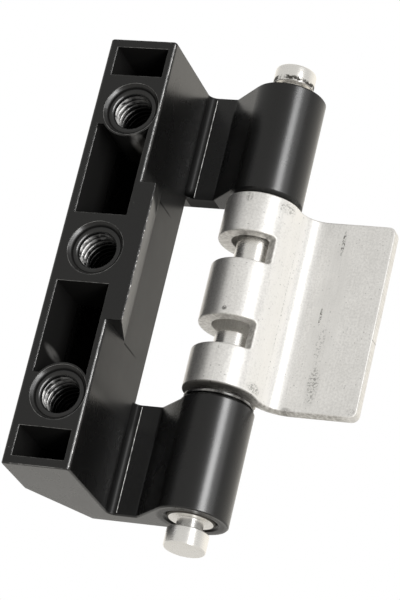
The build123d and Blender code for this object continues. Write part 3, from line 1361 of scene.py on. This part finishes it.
    def _round_plate(self, along: np.ndarray, up: np.ndarray) -> np.ndarray:
        """Draws the plate's end in at its corners, as a quarter circle does, and spreads the columns behind.

        Args:
            along: the chart points' lengths.
            up: their heights.

        Returns:
            The new lengths.
        """
        radius = self.plate_corner - self.edge
        deep = np.clip(np.minimum(up - self.low, self.high - up) - self.edge, 0, radius)
        start = radius - np.sqrt(radius**2 - (radius - deep) ** 2)
        reach = self.bend_at / 2
        return along + start * np.clip((reach - along) / (reach - self.edge), 0, 1)

    def _round_slot(self, along: np.ndarray, up: np.ndarray, ends: Pair, side: float) -> np.ndarray:
        """Ends the columns at a slot's end, whose corners are quarter circles, by closing them up behind it.

        Args:
            along: the lengths of the chart points in the slot's rows.
            up: their heights.
            ends: the slot's lowest and highest row.
            side: the length where its straight sides start.

        Returns:
            The new lengths.
        """
        radius = self.slot_corner + self.edge
        deep = np.clip(np.minimum(up - ends[0], ends[1] - up), 0, radius)
        end = side - np.sqrt(radius**2 - (radius - deep) ** 2)
        share = np.clip((along - self.bend_at) / (side - self.bend_at), 0, 1)
        return along - share**3 * (side - end)

    def _outline(self, number: np.ndarray, side: int, slots: list[tuple[int, int]]) -> np.ndarray:
        """Goes once round the sheet: the bottom, each finger's tip and slot, the top, and the plate's end.

        Args:
            number: the chart points' numbers.
            side: the column where the slots' straight sides start.
            slots: the first and last row of each slot.

        Returns:
            The outline's point numbers.
        """
        runs, row = [number[0, :-1]], 0
        for first, last in slots:
            runs += [number[row:first, -1], number[first, :side:-1]]
            runs += [number[first:last, side], number[last, side:-1]]
            row = last
        runs += [number[row:-1, -1], number[-1, :0:-1], number[:0:-1, 0]]
        return np.concatenate(runs)

    def scuffs_and_shade(self) -> tuple[Mark, ...]:
        """The dark marks on the sheet, as lengths and heights on its chart: scuff marks, and one band of
        painted shade.

        Returns:
            Marks along the plate and its bend, on the eyes' flank, and along the lower edge, where the long
            band under the eyes is painted shade.
        """
        plate, bend, eye = self.end_x, self.bend_at, self.eye_at
        return (
            Mark((plate - 26.3 * MM, 11.0 * MM), (0.28 * MM, 2.2 * MM), 0.95, 0.02),
            Mark((plate - 25.4 * MM, 0.4 * MM), (0.20 * MM, 1.6 * MM), 0.9, 0.03),
            Mark((plate - 26.4 * MM, -9.3 * MM), (1.0 * MM, 3.4 * MM), 0.55, 0.02),
            Mark((plate - 26.2 * MM, -3.6 * MM), (0.8 * MM, 3.5 * MM), 0.25),
            Mark((plate - 26.2 * MM, 1.0 * MM), (2.2 * MM, 14.0 * MM), 0.16),
            Mark((eye + 6.7 * MM, self.high - 0.8 * MM), (0.5 * MM, 0.9 * MM), 0.55, 0.05),
            Mark((eye + 2.2 * MM, self.high - 1.1 * MM), (1.6 * MM, 1.0 * MM), 0.40, 0.02),
            Mark((eye + 6.6 * MM, -2.8 * MM), (0.35 * MM, 0.4 * MM), 0.8, 0.1),
            Mark((eye + 1.1 * MM, self.low + 1.0 * MM), (1.5 * MM, 0.8 * MM), 0.45, 0.04),
            Mark((bend + 0.4 * MM, self.low + 0.2 * MM), (1.0 * MM, 0.5 * MM), 0.45, 0.1),
            Mark((bend + 5.0 * MM, 0.0), (0.16 * MM, 16.0 * MM), 0.30),
            # Painted shade: a near-solid dark band along the lower edge under the eyes, where the knuckle
            # shades it
            Mark((eye + 11.0 * MM, self.low), (14.0 * MM, 0.36 * MM), 0.9, 0.3),
            Mark((plate - 32.2 * MM, self.low + 0.8 * MM), (0.9 * MM, 0.6 * MM), 0.5),
        )

    def dress(self) -> bpy.types.Object:
        """Makes the leaf's piece in place of its CAD node.

        Returns:
            The piece.
        """
        zinc = ZincPlate("zinc_plate", scuffs_and_shade=self.scuffs_and_shade(), bottom=self.low, flank=self.eye_at)
        made = self.surface().piece("rolled_leaf", Body.LEAF, Slot.ZINC, zinc)
        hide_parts("leaf")
        return made


@dataclass
class TurnedPin:
    """One pin: head, lever groove, body and a thinner inner tip, turned about the pin axis with broken edges.

    The upper pin has a dark blotchy band under its head and is a little warmer. Each pin's body is darkened
    where it enters the knuckle: painted shade.
    """

    axle: Axle
    body: Body
    node: str
    head_length: float = 2.5 * MM
    head_radius: float = 2.75 * MM
    groove_length: float = 1.5 * MM
    neck_radius: float = 1.75 * MM
    body_radius: float = 3.2 * MM
    tip_radius: float = 2.5 * MM
    tip_length: float = 5.7 * MM
    soft_edge: float = 0.12 * MM
    head_edge: float = 0.38 * MM
    end_edge: float = 0.32 * MM
    lead_edge: float = 0.4 * MM
    dark_band_height: float = 0.85 * MM
    seat_depth: float = 0.34 * MM
    gloss: float = 0.28
    upper_warm: float = 0.05
    lower_warm: float = 0.04
    segments: int = 128

    def dress(self) -> bpy.types.Object:
        """Makes the pin's piece in place of its CAD node.

        Returns:
            The piece.
        """
        low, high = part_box(self.node)
        upper = high.z > -low.z
        outer, inner = (high.z, low.z) if upper else (low.z, high.z)
        into = np.sign(inner - outer)
        head_end = outer + into * self.head_length
        body_start = head_end + into * self.groove_length
        body_end = inner - into * self.tip_length
        corners = np.array(
            [
                (0.0, outer),
                (self.head_radius, outer),
                (self.head_radius, head_end),
                (self.neck_radius, head_end),
                (self.neck_radius, body_start),
                (self.body_radius, body_start),
                (self.body_radius, body_end),
                (self.tip_radius, body_end),
                (self.tip_radius, inner),
                (0.0, inner),
            ]
        )
        soft, end = self.soft_edge, self.end_edge
        radii = np.array([self.head_edge, soft, soft, soft, end, self.lead_edge, soft, end])
        steel = TurnedSteel(
            f"{self.node}_steel",
            warm=self.upper_warm if upper else self.lower_warm,
            gloss=self.gloss,
            band=(head_end, head_end + self.dark_band_height) if upper else None,
            # The body's end at the knuckle is darkened: painted shade of the gap
            seat=(abs(body_start) - self.seat_depth, self.body_radius - end),
            axle=(self.axle.x, self.axle.y),
        )
        turned = self.axle.lathe(rounded_profile(corners, radii, ARC_STEPS), self.segments)
        made = turned.piece(f"turned_{self.node}", self.body, Slot.TURNED, steel)
        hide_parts(self.node)
        return made


@dataclass
class SpacerWasher:
    """The thin ring between the lower knuckle and the leaf, with rounded rims and dark blotches; its steel is
    far darker than the pins', as painted shade of the narrow gap.
    """

    axle: Axle
    bore: float = 3.25 * MM
    edge: float = 0.18 * MM
    # Far darker than the pins' steel: painted shade of the gap between knuckle and leaf
    colour: float = 0.19
    gloss: float = 0.26
    blotch_share: float = 4.0
    segments: int = 128

    def dress(self) -> bpy.types.Object:
        """Makes the ring's piece in place of its CAD node.

        Returns:
            The piece.
        """
        low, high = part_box("washer")
        outer = (high.x - low.x) / 2
        middle = (low.z + high.z) / 2
        corners = np.array(
            [
                (self.bore, middle),
                (self.bore, high.z),
                (outer, high.z),
                (outer, low.z),
                (self.bore, low.z),
                (self.bore, middle),
            ]
        )
        outline = rounded_profile(corners, np.full(len(corners) - 2, self.edge), ARC_STEPS)[:-1]
        steel = TurnedSteel("ring_steel", self.colour, gloss=self.gloss, blotch_share=self.blotch_share)
        made = self.axle.lathe(outline, self.segments).piece("spacer_ring", Body.BRACKET, Slot.RING, steel)
        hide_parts("washer")
        return made


def paint(node: bpy.types.Object, finish: Finish) -> None:
    """Gives a CAD node a finish through its material slot.

    Args:
        node: the CAD node's object.
        finish: what it is covered with.
    """
    material = finish.material()
    if node.material_slots:
        node.material_slots[0].material = material
    else:
        node.data.materials.append(material)
    LOG.info("%s: CAD node, finished in %s", node.name, finish.name)


@dataclass(frozen=True)
class Softbox:
    """A rectangular light that faces the hinge."""

    name: str
    place: Triple
    size: Pair
    power: float
    reach: Reach

    def light(self, target: Vector, metal: Sequence[bpy.types.Object], floor: bpy.types.Object) -> None:
        """Adds the light, turned towards the target, on the metal alone or on all but metal and floor.

        Args:
            target: the point that it faces.
            metal: the bare metal pieces.
            floor: the floor, which only the surroundings light.
        """
        lamp = bpy.data.lights.new(self.name, "AREA")
        lamp.shape, lamp.size, lamp.size_y, lamp.energy = "RECTANGLE", *self.size, self.power
        made = bpy.data.objects.new(self.name, lamp)
        made.location = self.place
        made.rotation_euler = (target - made.location).to_track_quat("-Z", "Y").to_euler()
        made.visible_camera = False
        bpy.context.scene.collection.objects.link(made)
        reached = bpy.data.collections.new(f"{self.name}_reach")
        on_metal = self.reach is Reach.METAL
        for piece in metal if on_metal else [*metal, floor]:
            reached.objects.link(piece)
        for entry in reached.collection_objects:
            entry.light_linking.link_state = "INCLUDE" if on_metal else "EXCLUDE"
        made.light_linking.receiver_collection = reached


@dataclass
class Studio:
    """White surroundings, soft lights, a pale floor below, and the photograph's camera."""

    backdrop: float = 1.0
    backdrop_colour: Colour = (1.0, 1.0, 1.0, 1.0)
    front_light: float = 0.68
    front_colour: Colour = (1.01, 1.0, 0.97, 1.0)
    back_light: float = 1.06
    back_colour: Colour = (1.04, 1.0, 0.92, 1.0)
    back_rise: Pair = (-0.1, 0.85)
    floor_height: float = -0.47
    floor_size: float = 40.0
    camera_place: Triple = (151.74 * MM, -323.57 * MM, -144.84 * MM)
    camera_forward: Triple = (-0.3603, 0.8573, 0.3678)
    camera_right: Triple = (0.9295, 0.2968, 0.2188)
    camera_clip: Pair = (0.01, 50.0)
    focal_pixels: float = 3036.1
    image_height: float = 600.0
    sensor: float = 36.0
    softboxes: tuple[Softbox, ...] = (
        Softbox("paint_softbox", (0.514, -0.481, -0.03), (0.23, 0.86), 12.1, Reach.PAINT),
        Softbox("paint_side_fill", (0.660, -0.260, -0.03), (0.30, 0.86), 1.4, Reach.PAINT),
        Softbox("metal_softbox", (0.515, -0.480, -0.03), (0.24, 0.86), 1.7, Reach.METAL),
    )

    def dress(self, metal: Sequence[bpy.types.Object]) -> None:
        """Builds the surroundings, the lights, the floor and the camera.

        Args:
            metal: the bare metal pieces, which get a weaker light than the paint.
        """
        scene = bpy.context.scene
        scene.view_settings.view_transform = "Standard"
        low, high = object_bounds()
        floor = self._floor(scene)
        for box in self.softboxes:
            box.light((low + high) / 2, metal, floor)
        self._world(scene)
        self._camera(scene)

    def _world(self, scene: bpy.types.Scene) -> None:
        """Plain white to the camera; to the hinge, a little dimmer in front than behind.

        Args:
            scene: the scene that gets the surroundings.
        """
        scene.world = scene.world or bpy.data.worlds.new("surroundings")
        scene.world.use_nodes = True
        kit = NodeKit(scene.world.node_tree)
        away = kit.axis(kit.place(Chart.SKY), "Y").between(*self.back_rise)
        seen = kit.node("ShaderNodeLightPath", output="Is Camera Ray")
        light = self.front_light + (self.back_light - self.front_light) * away
        strength = light + seen * (self.backdrop - light)
        colour = kit.tint(seen, kit.tint(away, self.front_colour, self.back_colour), self.backdrop_colour)
        sky = kit.add("ShaderNodeBackground", sockets={"Color": colour, "Strength": strength})
        kit.add("ShaderNodeOutputWorld", sockets={"Surface": sky.outputs["Background"]})

    def _floor(self, scene: bpy.types.Scene) -> bpy.types.Object:
        """Adds a wide square of floor, below the camera.

        Args:
            scene: the scene that gets the floor.

        Returns:
            The floor.
        """
        half = self.floor_size / 2
        square = half * np.array([(-1, -1), (1, -1), (1, 1), (-1, 1)], float)
        mesh = bpy.data.meshes.new("floor")
        mesh.from_pydata([(*corner, self.floor_height) for corner in square.tolist()], [], [(0, 1, 2, 3)])
        mesh.materials.append(PaleFloor("pale_floor").material())
        floor = bpy.data.objects.new("floor", mesh)
        scene.collection.objects.link(floor)
        floor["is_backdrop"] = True
        return floor

    def _camera(self, scene: bpy.types.Scene) -> None:
        """Adds the camera fitted to the photograph.

        Args:
            scene: the scene that gets the camera.
        """
        lens = bpy.data.cameras.new("camera")
        lens.sensor_width, lens.lens = self.sensor, self.focal_pixels * self.sensor / self.image_height
        lens.clip_start, lens.clip_end = self.camera_clip
        made = bpy.data.objects.new("camera", lens)
        forward, right = Vector(self.camera_forward), Vector(self.camera_right)
        turn = Matrix((right, right.cross(forward), -forward)).transposed()
        made.matrix_world = Matrix.Translation(self.camera_place) @ turn.to_4x4()
        scene.collection.objects.link(made)
        scene.camera = made


def main() -> None:
    """Builds and dresses every piece."""
    logging.basicConfig(level=logging.INFO, format="%(name)s: %(message)s")
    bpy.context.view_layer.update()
    axle = Axle.of_joint("leaf_swing")
    Casting(axle).dress()
    metal = [
        RolledLeaf(axle).dress(),
        TurnedPin(axle, Body.UPPER_PIN, "upper_pin").dress(),
        TurnedPin(axle, Body.LOWER_PIN, "lower_pin").dress(),
        SpacerWasher(axle).dress(),
    ]
    Studio().dress(metal)


if __name__ == "__main__":
    main()
